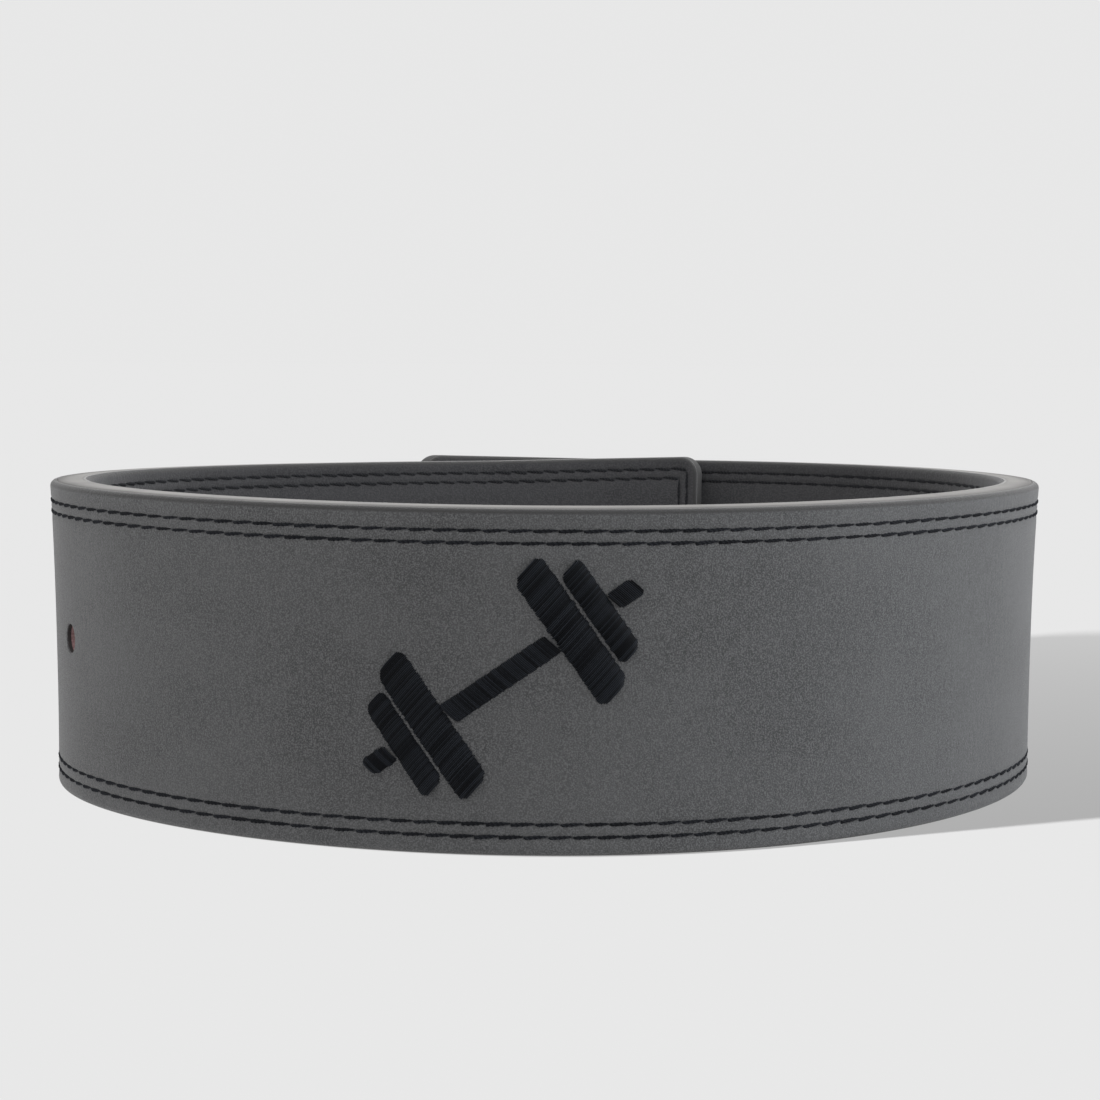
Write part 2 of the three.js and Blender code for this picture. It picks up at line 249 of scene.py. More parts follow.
stations = strap_stations()
shrink = round_drop(np.minimum(stations, STRAP_LENGTH - stations), TIP_CORNER) + EDGE_SETBACK


# One layer of the strap, from its front level to its back level, with real holes and round ends.
# Its front or back is dressed where it shows. Its inset attribute holds the way in from the rim,
# its seam_press_shade attribute the nearness to the seams, which pressing and painted shade darken, and its
# depth runs from 0 at the face to 1.
def layer_piece(name, front, back, dressed=None):
    dressed_rows = side_rows(edge_lines((dressed,)), ROW_STEP) if dressed else None
    plain_rows = side_rows([0, PLAIN_INSET], PLAIN_STEP)
    front_rows = dressed_rows if dressed == "front" else plain_rows
    back_rows = dressed_rows if dressed == "back" else plain_rows
    rim_front = front + SHOULDER * (dressed == "front")
    rim_back = back - SHOULDER * (dressed == "back")
    rim = np.linspace(rim_front, rim_back, RIM_LINES)
    rim = np.sort(np.concatenate([rim[1:-1], [front + NOTCH_LINE, back - NOTCH_LINE]]))
    rim = rim[(rim > rim_front) & (rim < rim_back)]
    fronts, rims, backs = np.ones(len(front_rows)), np.ones(len(rim)), np.ones(len(back_rows))
    rows = np.concatenate([front_rows, rims * STRAP_WIDTH, back_rows[::-1], rims * 0])
    level = np.concatenate([fronts * front, rim, backs * back, rim[::-1]])
    facing = np.concatenate([fronts * (dressed == "front"), rims * 0, backs * -(dressed == "back"), rims * 0])

    across = np.clip((rows - PLAIN_INSET) / (STRAP_WIDTH - 2 * PLAIN_INSET), 0, 1)
    distance = np.repeat(stations[:, None], len(rows), 1)
    height = rows + (1 - 2 * across) * shrink[:, None]
    depth = level + facing * sunk_at(distance, height, dressed)
    on_rim = (rows == 0) | (rows == STRAP_WIDTH)
    from_glue = np.minimum(depth - front, back - depth) / NOTCH_SPREAD
    notch = RIM_NOTCH * np.exp(-(from_glue**2)) * (depth > SHOULDER) * (depth < THICKNESS - SHOULDER)
    height = height - on_rim * notch * np.sign(rows - STRAP_WIDTH / 2)
    flat = [np.stack([distance, height, -depth], -1).reshape(-1, 3)]

    # Cells of the two sides that the hole patches stand in for
    count = len(rows)
    first_cell = int(np.argmin(np.abs(front_rows - HOLE_HEIGHT + PATCH_HALF)))
    back_cell = int(np.argmin(np.abs(back_rows - HOLE_HEIGHT + PATCH_HALF)))
    last_back = len(front_rows) + len(rim) + len(back_rows) - 1
    open_columns = set(range(first_cell, first_cell + PATCH_CELLS))
    open_columns |= set(range(last_back - back_cell - PATCH_CELLS, last_back - back_cell))
    starts = [int(np.argmin(np.abs(stations - middle + PATCH_HALF))) for middle in hole_middles]
    open_stations = {start + cell for start in starts for cell in range(PATCH_CELLS)}
    faces = [
        (i * count + j, i * count + (j + 1) % count, (i + 1) * count + (j + 1) % count, (i + 1) * count + j)
        for i in range(len(stations) - 1) for j in range(count)
        if not (i in open_stations and j in open_columns)
    ]
    faces += [tuple(range(count)), tuple((len(stations) - 1) * count + j for j in range(count))]

    # Adds a ring of points inside a loop, and the faces between the two
    def close_in(loop, points, into):
        first = sum(len(part) for part in flat)
        flat.append(points)
        ring = list(range(first, first + len(points)))
        into += [(loop[n], loop[n - 1], ring[n - 1], ring[n]) for n in range(len(loop))]
        return ring

    # Round holes, from the square of cells that is left out to the lip and through to the back,
    # with a band below a dressed lip that is dyed as the leather is
    steps = range(PATCH_CELLS)
    square = [(step, 0) for step in steps] + [(PATCH_CELLS, step) for step in steps]
    square += [(PATCH_CELLS - step, PATCH_CELLS) for step in steps]
    square += [(0, PATCH_CELLS - step) for step in steps]
    lip = HOLE_RADIUS + HOLE_LIP * (1 - np.cos(LIP_TURNS))
    wall_faces, dyed_faces = [], []
    for middle, start in zip(hole_middles, starts):
        mouths = []
        for side, base, inwards, column in (("front", front, 1, lambda row: first_cell + row),
                                            ("back", back, -1, lambda row: last_back - back_cell - row)):
            loop = [(start + i) * count + column(j) for i, j in square]
            beside, above = flat[0][loop, 0] - middle, flat[0][loop, 1] - HOLE_HEIGHT
            reach = np.hypot(beside, above)
            radii = [lip[0] + (reach - lip[0]) * share for share in PATCH_RINGS]
            radii = radii + [np.full(len(loop), radius) for radius in lip] if dressed == side else [lip[-1]]
            for radius in radii:
                s = middle + beside / reach * radius
                h = HOLE_HEIGHT + above / reach * radius
                sunk = sunk_at(s, h, side) if dressed == side else 0 * s
                loop = close_in(loop, np.stack([s, h, -base - inwards * sunk], -1), faces)
            if dressed == side:
                loop = close_in(loop, flat[-1] - [0, 0, inwards * DYED_DEPTH], dyed_faces)
            mouths.append(loop)
        wall_faces += [(mouths[0][n], mouths[0][n - 1], mouths[1][n - 1], mouths[1][n])
                       for n in range(len(mouths[0]))]

    flat = np.concatenate(flat)
    added = len(flat) - len(stations) * count
    shown = np.concatenate([np.tile(facing != 0, len(stations)), np.ones(added, bool)])
    mesh = bpy.data.meshes.new(name)
    mesh.from_pydata(place_on_ring(flat), [], faces + wall_faces + dyed_faces)
    kinds = [0] * len(faces) + [1] * len(wall_faces) + [2] * len(dyed_faces)
    mesh.polygons.foreach_set("material_index", kinds)
    corner_points = np.zeros(len(mesh.loops), int)
    mesh.loops.foreach_get("vertex_index", corner_points)
    mesh.uv_layers.new(name="flat").data.foreach_set("uv", flat[corner_points, :2].ravel())
    inset = shown * inset_at(flat[:, 0], flat[:, 1])
    seam_press_shade = shown * beside_seam(flat[:, 0], flat[:, 1], SEAM_PRESS_SHADE_SPREAD, dressed)
    mesh.attributes.new("inset", "FLOAT", "POINT").data.foreach_set("value", inset)
    mesh.attributes.new("seam_press_shade", "FLOAT", "POINT").data.foreach_set("value", seam_press_shade)
    mesh.attributes.new("depth", "FLOAT", "POINT").data.foreach_set("value", -flat[:, 2] / THICKNESS)
    return finished_piece(name, mesh)


# Puts a mesh in the scene with its faces pointing out and its edges smooth below a sharp angle
def finished_piece(name, mesh):
    shape = bmesh.new()
    shape.from_mesh(mesh)
    bmesh.ops.recalc_face_normals(shape, faces=shape.faces)
    shape.to_mesh(mesh)
    shape.free()
    mesh.shade_smooth()
    mesh.set_sharp_from_angle(angle=SHARP_ANGLE)
    piece = bpy.data.objects.new(name, mesh)
    bpy.context.scene.collection.objects.link(piece)
    return piece


# A material with its tree and its shader, and a node whose inputs are given by name
def new_finish(name):
    material = bpy.data.materials.new(name)
    material.use_nodes = True
    return material, material.node_tree, material.node_tree.nodes["Principled BSDF"]


def add(tree, kind, inputs=None, **settings):
    node = tree.nodes.new(kind)
    for key, value in settings.items():
        setattr(node, key, value)
    for key, value in (inputs or {}).items():
        if isinstance(value, bpy.types.NodeSocket):
            tree.links.new(value, node.inputs[key])
        else:
            node.inputs[key].default_value = value
    return node


def calculate(tree, operation, *values):
    return add(tree, "ShaderNodeMath", dict(enumerate(values)), operation=operation).outputs[0]


def ramp(tree, value, start, end, low=0.0, high=1.0):
    span = {"Value": value, "From Min": start, "From Max": end, "To Min": low, "To Max": high}
    return add(tree, "ShaderNodeMapRange", span, interpolation_type="SMOOTHSTEP").outputs["Result"]


def blend(tree, share, first, second):
    return add(tree, "ShaderNodeMix", {0: share, 6: first, 7: second}, data_type="RGBA").outputs[2]


# Noise from 0 to 1 with its specks a given size in metres, and stretched along an axis
def speckle(tree, place, size, detail=2.0, stretch=(1, 1, 1)):
    scaled = add(tree, "ShaderNodeMapping", {"Vector": place, "Scale": [1 / (size * s) for s in stretch]})
    return add(tree, "ShaderNodeTexNoise",
               {"Vector": scaled.outputs[0], "Scale": 1.0, "Detail": detail}).outputs["Fac"]


def relief(tree, height, distance, over=None):
    inputs = {"Height": height, "Distance": distance, "Strength": 1.0}
    if over is not None:
        inputs["Normal"] = over
    return add(tree, "ShaderNodeBump", inputs).outputs["Normal"]


PAINT_COLOUR = (0.135, 0.127, 0.118, 1)
PAINT_WORN = (0.085, 0.079, 0.073, 1)
PAINT_ROUGHNESS = 0.40
PAINT_STREAK = 0.0005
PAINT_PATCH = 0.02
PAINT_RELIEF = 0.00008
NAP_ROUGHNESS = 0.9
RAW_COLOUR = (0.36, 0.225, 0.225, 1)
RAW_DARK = (0.24, 0.135, 0.135, 1)
DYED_COLOUR = (0.020, 0.016, 0.016, 1)
BURNISH_AND_SHADE_COLOUR = (0.040, 0.039, 0.039, 1)
PAINTLESS_TIP = 0.012
FACE_SIDE_PAINTED_SHADE = 0.75


# Edge paint, brushed along the rim, so its streaks run with the strap. Towards the face it is duller
# and darkened with painted shade, and at the tips it is rubbed off.
def edge_paint(tree, place, flat_place):
    streaks = speckle(tree, flat_place, PAINT_STREAK, 3, (30, 1, 1))
    patches = speckle(tree, place, PAINT_PATCH, 2)
    worn = ramp(tree, calculate(tree, "ADD", streaks, patches), 0.8, 1.3)
    along = add(tree, "ShaderNodeSeparateXYZ", {"Vector": flat_place}).outputs["X"]
    from_middle = calculate(tree, "ABSOLUTE", calculate(tree, "SUBTRACT", along, STRAP_LENGTH / 2))
    bare_from = STRAP_LENGTH / 2 - PAINTLESS_TIP
    tip = ramp(tree, from_middle, bare_from, bare_from + PAINTLESS_TIP / 2)
    depth = add(tree, "ShaderNodeAttribute", attribute_name="depth").outputs["Fac"]
    # Painted shade: the paint darkens towards the face; near the tips it is rubbed off
    thin = calculate(tree, "MAXIMUM", tip, ramp(tree, depth, 0.7, 0.0, 0, FACE_SIDE_PAINTED_SHADE))
    colour = blend(tree, thin, blend(tree, worn, PAINT_COLOUR, PAINT_WORN), BURNISH_AND_SHADE_COLOUR)
    return colour, ramp(tree, thin, 0, 1, PAINT_ROUGHNESS, NAP_ROUGHNESS), streaks


painted, tree, shader = new_finish("edge_paint")
place = add(tree, "ShaderNodeTexCoord").outputs["Object"]
flat_place = add(tree, "ShaderNodeUVMap", uv_map="flat").outputs[0]
colour, roughness, streaks = edge_paint(tree, place, flat_place)
tree.links.new(colour, shader.inputs["Base Color"])
tree.links.new(roughness, shader.inputs["Roughness"])
tree.links.new(relief(tree, streaks, PAINT_RELIEF), shader.inputs["Normal"])


# Cut leather, as on the wall of a punched hole. Its fibres turn from dark to light over a span of
# their noise.
def cut_leather(name, dark, light, span, fibre, detail, roughness, height):
    material, tree, shader = new_finish(name)
    place = add(tree, "ShaderNodeTexCoord").outputs["Object"]
    fibres = speckle(tree, place, fibre, detail)
    tree.links.new(blend(tree, ramp(tree, fibres, *span), dark, light), shader.inputs["Base Color"])
    shader.inputs["Roughness"].default_value = roughness
    tree.links.new(relief(tree, fibres, height), shader.inputs["Normal"])
    return material


raw_leather = cut_leather("raw_leather", RAW_DARK, RAW_COLOUR, span=(0.35, 0.65),
                          fibre=0.0006, detail=4, roughness=0.85, height=0.0002)
dyed_leather = cut_leather("dyed_leather", DYED_COLOUR, RAW_DARK, span=(0.6, 0.9),
                           fibre=0.0004, detail=3, roughness=0.8, height=0.0001)

core_front = FACE_THICKNESS + GLUE_LINE / 2 + LAYER_GAP / 2
core = layer_piece("strap_core", core_front, THICKNESS - core_front)
core.data.materials.append(painted)
core.data.materials.append(raw_leather)
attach(core, "root")
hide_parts("leather_core")


# Nubuck face of the strap, 2.2 mm thick.
# Charcoal leather, buffed to a short nap that catches light at a slant, glued over the core.
# Its shoulders are darkened by burnish and by painted shade, and the edge paint runs just over the rim.

NUBUCK_COLOUR = (0.074, 0.0745, 0.0765, 1)
NUBUCK_DARK = (0.044, 0.0442, 0.0457, 1)
NUBUCK_LIGHT = (0.120, 0.121, 0.1235, 1)
PRESSED_AND_SHADED_COLOUR = (0.026, 0.0265, 0.029, 1)
NUBUCK_SHEEN = 0.25
NUBUCK_CLOUD = 0.045
NUBUCK_GRAIN = 0.00042
PAINTED_TO = 0.0003
PAINT_EDGE = 0.00005
FOOT_NAP = 0.0009
FOOT_RANGE = (0.3 * STRAP_WIDTH, 0.7 * STRAP_WIDTH)
BURNISH_AND_SHADE_EDGE = (0.0010, 0.0019)
SHEEN_ROUGHNESS = 0.45
NAP_GLOSS = 0.35
NAP_RELIEF = 0.0002
BRUSH_RELIEF = 0.0001


# Napped leather, painted at its rim, that darkens where seams press it and at its shoulder, partly with
# painted shade. The foot that the strap stands on keeps its nap, and less of that darkening, nearly down to
# the rim.
def napped_leather(name, base, dark, light, sheen, cloud, grain, painted_to):
    material, tree, shader = new_finish(name)
    place = add(tree, "ShaderNodeTexCoord").outputs["Object"]
    flat_place = add(tree, "ShaderNodeUVMap", uv_map="flat").outputs[0]
    inset = add(tree, "ShaderNodeAttribute", attribute_name="inset").outputs["Fac"]
    seam_press_shade = add(tree, "ShaderNodeAttribute", attribute_name="seam_press_shade").outputs["Fac"]
    height = add(tree, "ShaderNodeSeparateXYZ", {"Vector": flat_place}).outputs["Y"]
    inset = calculate(tree, "ADD", inset, ramp(tree, height, *FOOT_RANGE, FOOT_NAP, 0))
    fine = speckle(tree, place, grain, 2)
    clouds = speckle(tree, place, cloud, 3, (1, 1, 0.8))
    brushed = speckle(tree, flat_place, grain * 4, 2, (1, 3, 1))
    mottle = calculate(tree, "ADD", clouds, calculate(tree, "MULTIPLY", brushed, 0.5))
    colour = blend(tree, ramp(tree, mottle, 0.45, 1.0), dark, base)
    colour = blend(tree, ramp(tree, fine, 0.40, 0.66), colour, light)
    # Pressed leather and painted shade darken the seam lines
    colour = blend(tree, ramp(tree, seam_press_shade, 0.25, 0.9, 0, 0.8), colour, PRESSED_AND_SHADED_COLOUR)
    # Burnish and painted shade darken the shoulder, narrower at the foot
    burnish_and_shade = calculate(tree, "SUBTRACT", 1, ramp(tree, inset, *BURNISH_AND_SHADE_EDGE))
    colour = blend(tree, burnish_and_shade, colour, BURNISH_AND_SHADE_COLOUR)
    paint, paint_roughness, streaks = edge_paint(tree, place, flat_place)
    bare = ramp(tree, inset, PAINT_EDGE, painted_to)
    tree.links.new(blend(tree, bare, paint, colour), shader.inputs["Base Color"])
    tree.links.new(ramp(tree, bare, 0, 1, paint_roughness, NAP_ROUGHNESS), shader.inputs["Roughness"])
    shader.inputs["Sheen Weight"].default_value = sheen
    shader.inputs["Sheen Roughness"].default_value = SHEEN_ROUGHNESS
    shader.inputs["Specular IOR Level"].default_value = NAP_GLOSS
    nap = relief(tree, fine, NAP_RELIEF)
    tree.links.new(relief(tree, brushed, BRUSH_RELIEF, nap), shader.inputs["Normal"])
    return material


nubuck = napped_leather("nubuck", NUBUCK_COLOUR, NUBUCK_DARK, NUBUCK_LIGHT, sheen=NUBUCK_SHEEN,
                        cloud=NUBUCK_CLOUD, grain=NUBUCK_GRAIN, painted_to=PAINTED_TO)
face = layer_piece("strap_face", 0, core_front - LAYER_GAP, "front")
for finish in (nubuck, raw_leather, dyed_leather):
    face.data.materials.append(finish)
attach(face, "root")
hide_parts("outer_leather")


# Suede lining of the strap, 2.2 mm thick, against the wearer.
# Dark grey split leather with a longer, softer nap, glued to the back of the core.

SUEDE_COLOUR = (0.050, 0.0495, 0.052, 1)
SUEDE_DARK = (0.036, 0.0355, 0.038, 1)
SUEDE_LIGHT = (0.066, 0.065, 0.068, 1)
SUEDE_SHEEN = 0.3
SUEDE_CLOUD = 0.025
SUEDE_GRAIN = 0.0006
SUEDE_PAINTED_TO = 0.0001

suede = napped_leather("suede", SUEDE_COLOUR, SUEDE_DARK, SUEDE_LIGHT, sheen=SUEDE_SHEEN,
                       cloud=SUEDE_CLOUD, grain=SUEDE_GRAIN, painted_to=SUEDE_PAINTED_TO)
lining = layer_piece("strap_lining", THICKNESS - core_front + LAYER_GAP, THICKNESS, "back")
for finish in (suede, raw_leather, dyed_leather):
    lining.data.materials.append(finish)
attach(lining, "root")
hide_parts("suede_lining")


# Lock stitching, two rows all round the face and all round the lining.
# Waxed three-ply black thread, 1.4 mm wide and pressed flatter, pulled down into the leather at every
# needle hole.

STITCH_PITCH = 0.007
THREAD_RADIUS = 0.00070
THREAD_SINK = 0.00026
THREAD_FLATNESS = 0.62
THREAD_ROUGHNESS = 0.7
THREAD_GLOSS = 0.12
THREAD_VARIETY = 0.25
THREAD_FIBRE = 0.00035
THREAD_FUZZ = 0.00006
PLY_HOLLOW = 0.7
PLY_CREST = 0.85
STITCH_DIP = 0.0010
STITCH_DIVE = 14.0
STITCH_OVERLAP = 1.06
STITCH_TWIST = 13.0
STITCH_TAIL = 0.7
STITCH_POINTS = 21
STITCH_SLANT = math.radians(4.5)
STITCH_SWAY = 0.03
STITCH_SEED = 3
SEAM_CORNER = 0.003
THREAD_COLOUR = (0.0020, 0.0024, 0.0036, 1)
THREAD_LIGHT = (0.0200, 0.0220, 0.0280, 1)
BOBBIN_COLOUR = (0.0130, 0.0135, 0.0155, 1)
BOBBIN_LIGHT = (0.0300, 0.0305, 0.0330, 1)


# Waxed thread, darkened between its plies with painted shade. Each length has a tone of its own, by as much
# as variety says.
def thread_finish(name, colour, light, gloss, variety):
    material, tree, shader = new_finish(name)
    place = add(tree, "ShaderNodeTexCoord").outputs["Object"]
    tone = add(tree, "ShaderNodeAttribute", attribute_name="tone").outputs["Fac"]
    ply_shade_mask = add(tree, "ShaderNodeAttribute", attribute_name="ply_shade_mask").outputs["Fac"]
    fibres = speckle(tree, place, THREAD_FIBRE, 3)
    share = calculate(tree, "MULTIPLY_ADD", tone, variety, calculate(tree, "MULTIPLY", fibres, 1 - variety))
    # Painted shade in the hollows between the plies
    share = calculate(tree, "MULTIPLY", ramp(tree, share, 0.25, 0.7), ramp(tree, ply_shade_mask, 0.2, 1.0, 0.15, 1))
    tree.links.new(blend(tree, share, colour, light), shader.inputs["Base Color"])
    shader.inputs["Roughness"].default_value = THREAD_ROUGHNESS
    shader.inputs["Specular IOR Level"].default_value = gloss
    tree.links.new(relief(tree, fibres, THREAD_FUZZ), shader.inputs["Normal"])
    return material


# A node tree with named inputs, that starts from a path and ends in plain geometry
def new_growth(name, sizes):
    tree = bpy.data.node_groups.new(name, "GeometryNodeTree")
    tree.interface.new_socket("Path", in_out="INPUT", socket_type="NodeSocketGeometry")
    for label, value in sizes.items():
        kind = "NodeSocketInt" if isinstance(value, int) else "NodeSocketFloat"
        tree.interface.new_socket(label, in_out="INPUT", socket_type=kind).default_value = value
    tree.interface.new_socket("Material", in_out="INPUT", socket_type="NodeSocketMaterial")
    tree.interface.new_socket("Grown", in_out="OUTPUT", socket_type="NodeSocketGeometry")
    return tree, add(tree, "NodeGroupInput").outputs


# Ends a growth tree: each copy gets a tone of its own, becomes real and takes the material
def end_growth(tree, sockets, copies):
    tone = add(tree, "FunctionNodeRandomValue", {"Seed": sockets["Seed"]}, data_type="FLOAT").outputs[1]
    toned = add(tree, "GeometryNodeStoreNamedAttribute", {"Geometry": copies, "Name": "tone", "Value": tone},
                data_type="FLOAT", domain="INSTANCE").outputs[0]
    real = add(tree, "GeometryNodeRealizeInstances", {"Geometry": toned}).outputs[0]
    finished = add(tree, "GeometryNodeSetMaterial", {"Geometry": real, "Material": sockets["Material"]})
    add(tree, "NodeGroupOutput", {"Grown": finished.outputs[0]})


# Runs a growth tree on a flat path and bends what grows from it round the ring
def grow(name, tree, points, edges, material, reach=None, **sizes):
    path_mesh = bpy.data.meshes.new(name + "_path")
    path_mesh.from_pydata(points, edges, [])
    if reach is not None:
        path_mesh.attributes.new("reach", "FLOAT", "POINT").data.foreach_set("value", reach)
    path = bpy.data.objects.new(name + "_path", path_mesh)
    bpy.context.scene.collection.objects.link(path)
    modifier = path.modifiers.new(name, "NODES")
    modifier.node_group = tree
    for item in tree.interface.items_tree:
        if item.in_out == "INPUT" and item.name in sizes:
            modifier[item.identifier] = sizes[item.name]
        if item.in_out == "INPUT" and item.name == "Material":
            modifier[item.identifier] = material
    graph = bpy.context.evaluated_depsgraph_get()
    mesh = bpy.data.meshes.new_from_object(path.evaluated_get(graph), depsgraph=graph)
    bpy.data.objects.remove(path)
    flat = np.zeros(len(mesh.vertices) * 3)
    mesh.vertices.foreach_get("co", flat)
    mesh.vertices.foreach_set("co", place_on_ring(flat.reshape(-1, 3)).ravel())
    mesh.name = name
    return finished_piece(name, mesh)


# Shape of one stitch: a length of three-ply thread that thins to its tail and dives at both ends.
# A higher dive keeps it level for longer. Its ply_shade_mask attribute is 1 on the crests of the plies and 0
# between them, where the thread takes painted shade.
def twisted_thread(tree, length, radius, drop, dive, twist, tail, points):
    half = calculate(tree, "MULTIPLY", length, 0.5)
    back = calculate(tree, "MULTIPLY", length, -0.5)
    start = add(tree, "ShaderNodeCombineXYZ", {"X": back}).outputs[0]
    end = add(tree, "ShaderNodeCombineXYZ", {"X": half}).outputs[0]
    line = add(tree, "GeometryNodeCurvePrimitiveLine", {"Start": start, "End": end}).outputs[0]
    line = add(tree, "GeometryNodeResampleCurve", {"Curve": line, "Count": points}).outputs[0]
    share = add(tree, "GeometryNodeSplineParameter").outputs["Factor"]
    off = calculate(tree, "ABSOLUTE", calculate(tree, "MULTIPLY_ADD", share, 2.0, -1.0))
    fall = calculate(tree, "MULTIPLY", calculate(tree, "POWER", off, dive), drop)
    down = add(tree, "ShaderNodeCombineXYZ", {"Z": calculate(tree, "MULTIPLY", fall, -1.0)}).outputs[0]
    line = add(tree, "GeometryNodeSetPosition", {"Geometry": line, "Offset": down}).outputs[0]
    turn = calculate(tree, "MULTIPLY", share, twist)
    line = add(tree, "GeometryNodeSetCurveTilt", {"Curve": line, "Tilt": turn}).outputs[0]
    ends = calculate(tree, "MULTIPLY", calculate(tree, "POWER", off, 6.0), 0.2)
    thin = calculate(tree, "SUBTRACT", 1.0, ends)
    thin = calculate(tree, "SUBTRACT", thin, ramp(tree, share, 0.5, 0.95, 0, tail))
    line = add(tree, "GeometryNodeSetCurveRadius", {"Curve": line, "Radius": thin}).outputs[0]
    inner = calculate(tree, "MULTIPLY", radius, PLY_HOLLOW)
    star = {"Points": 3, "Inner Radius": inner, "Outer Radius": radius}
    plies = add(tree, "GeometryNodeCurveStar", star).outputs[0]
    out = add(tree, "ShaderNodeVectorMath", {0: add(tree, "GeometryNodeInputPosition").outputs[0]},
              operation="LENGTH").outputs["Value"]
    crest = calculate(tree, "GREATER_THAN", out, calculate(tree, "MULTIPLY", radius, PLY_CREST))
    plies = add(tree, "GeometryNodeStoreNamedAttribute", {"Geometry": plies, "Name": "ply_shade_mask", "Value": crest},
                data_type="FLOAT", domain="POINT").outputs[0]
    return add(tree, "GeometryNodeCurveToMesh", {"Curve": line, "Profile Curve": plies, "Scale": thin,
                                                 "Fill Caps": True}).outputs[0]


# Turns instances about the normal of the flat leather
def swing_round(tree, rotation, angle):
    swing = add(tree, "ShaderNodeCombineXYZ", {"Z": angle}).outputs[0]
    swing = add(tree, "FunctionNodeEulerToRotation", {0: swing}).outputs[0]
    return add(tree, "FunctionNodeRotateRotation", {0: rotation, 1: swing}, rotation_space="LOCAL").outputs[0]


sewing, given = new_growth("sewing", {"Pitch": STITCH_PITCH, "Thread": THREAD_RADIUS,
                                      "Flatness": THREAD_FLATNESS, "Dip": STITCH_DIP,
                                      "Slant": STITCH_SLANT, "Seed": STITCH_SEED})
curve = add(sewing, "GeometryNodeMeshToCurve", {"Mesh": given["Path"]}).outputs[0]
needles = add(sewing, "GeometryNodeCurveToPoints", {"Curve": curve, "Length": given["Pitch"]}, mode="LENGTH")
length = calculate(sewing, "MULTIPLY", given["Pitch"], STITCH_OVERLAP)
stitch = twisted_thread(sewing, length, given["Thread"], drop=given["Dip"], dive=STITCH_DIVE,
                        twist=STITCH_TWIST, tail=STITCH_TAIL, points=STITCH_POINTS)
# All stitches of a side lean alike, so each runs the way in which the distance grows
run = add(sewing, "ShaderNodeSeparateXYZ", {"Vector": needles.outputs["Tangent"]}).outputs["X"]
way = calculate(sewing, "SIGN", calculate(sewing, "ADD", run, 0.001))
run = add(sewing, "ShaderNodeVectorMath", {"Vector": needles.outputs["Tangent"], "Scale": way},
          operation="SCALE").outputs["Vector"]
turned = add(sewing, "FunctionNodeAlignRotationToVector", {"Vector": run},
             axis="X", pivot_axis="Z").outputs[0]
sway = add(sewing, "FunctionNodeRandomValue", {2: -STITCH_SWAY, 3: STITCH_SWAY, "Seed": given["Seed"]},
           data_type="FLOAT").outputs[1]
turned = swing_round(sewing, turned, calculate(sewing, "ADD", given["Slant"], sway))
pressed = add(sewing, "ShaderNodeCombineXYZ", {"X": 1.0, "Y": 1.0, "Z": given["Flatness"]}).outputs[0]
sewn = {"Points": needles.outputs["Points"], "Instance": stitch, "Rotation": turned, "Scale": pressed}
copies = add(sewing, "GeometryNodeInstanceOnPoints", sewn).outputs[0]
end_growth(sewing, given, copies)


# Closed path at an inset from the outline of the strap, with round corners
def seam_path(inset, out):
    half_length, half_height = STRAP_LENGTH / 2 - inset, STRAP_WIDTH / 2 - EDGE_SETBACK - inset
    bends = np.radians(np.arange(0, 91, 15))
    points = []
    for quarter, (along, up) in enumerate(((1, 1), (-1, 1), (-1, -1), (1, -1))):
        turn = bends + quarter * math.pi / 2
        x = STRAP_LENGTH / 2 + along * (half_length - SEAM_CORNER) + SEAM_CORNER * np.cos(turn)
        y = STRAP_WIDTH / 2 - SEAM_DROP + up * (half_height - SEAM_CORNER) + SEAM_CORNER * np.sin(turn)
        points += [(px, py, out) for px, py in zip(x, y)]
    return points


black_thread = thread_finish("black_thread", THREAD_COLOUR, THREAD_LIGHT, THREAD_GLOSS, THREAD_VARIETY)
bobbin_thread = thread_finish("bobbin_thread", BOBBIN_COLOUR, BOBBIN_LIGHT, THREAD_GLOSS, THREAD_VARIETY)
sides = (("stitching_face", "front", black_thread, -THREAD_SINK, 1),
         ("stitching_lining", "back", bobbin_thread, THREAD_SINK - THICKNESS, -1))
for name, side, thread, out, inwards in sides:
    points, edges = [], []
    for inset in SEAM_INSETS[side]:
        loop = seam_path(inset, out)
        start = len(points)
        edges += [(start + n, start + (n + 1) % len(loop)) for n in range(len(loop))]
        points += loop
    stitching = grow(name, sewing, points, edges, thread, Pitch=STITCH_PITCH, Thread=THREAD_RADIUS,
                     Flatness=THREAD_FLATNESS, Dip=STITCH_DIP * inwards, Slant=STITCH_SLANT,
                     Seed=STITCH_SEED)
    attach(stitching, "root")


# Embroidered barbell on the front, in padded satin stitch.
# Each shape is filled with close black threads, laid across it over a raised padding.
# The shapes of one side are given as their width along the bar, their height and their corners, all
# as shares of the emblem's height.

EMBLEM_SHIFT = -0.015
EMBLEM_RISE = 0.001
EMBLEM_TILT = math.radians(35)
EMBLEM_GAP = 0.0005
EMBLEM_GRIP = (0.036, 0.007, 0.0008)
EMBLEM_HEIGHT = 0.044
EMBLEM_SIDE = (("inner_plate", 0.25, 1, 0.07),
               ("outer_plate", 0.18, 0.7, 0.055),
               ("sleeve", 0.19, 0.14, 0.035))
SATIN_PITCH = 0.0005
SATIN_THREAD = 0.00033
SATIN_CROWN = 0.0011
SATIN_FALL = 3.0
SATIN_POINTS = 9
SATIN_UNEVEN = (0.95, 1.04)
SATIN_SLANT = math.radians(14)
SATIN_GLOSS = 0.15
SATIN_VARIETY = 0.6
SATIN_SEED = 5
SIDE_SEED = 10
ROW_POINTS = 60
SATIN_COLOUR = (0.0008, 0.0013, 0.0025, 1)
SATIN_LIGHT = (0.0200, 0.0235, 0.0300, 1)

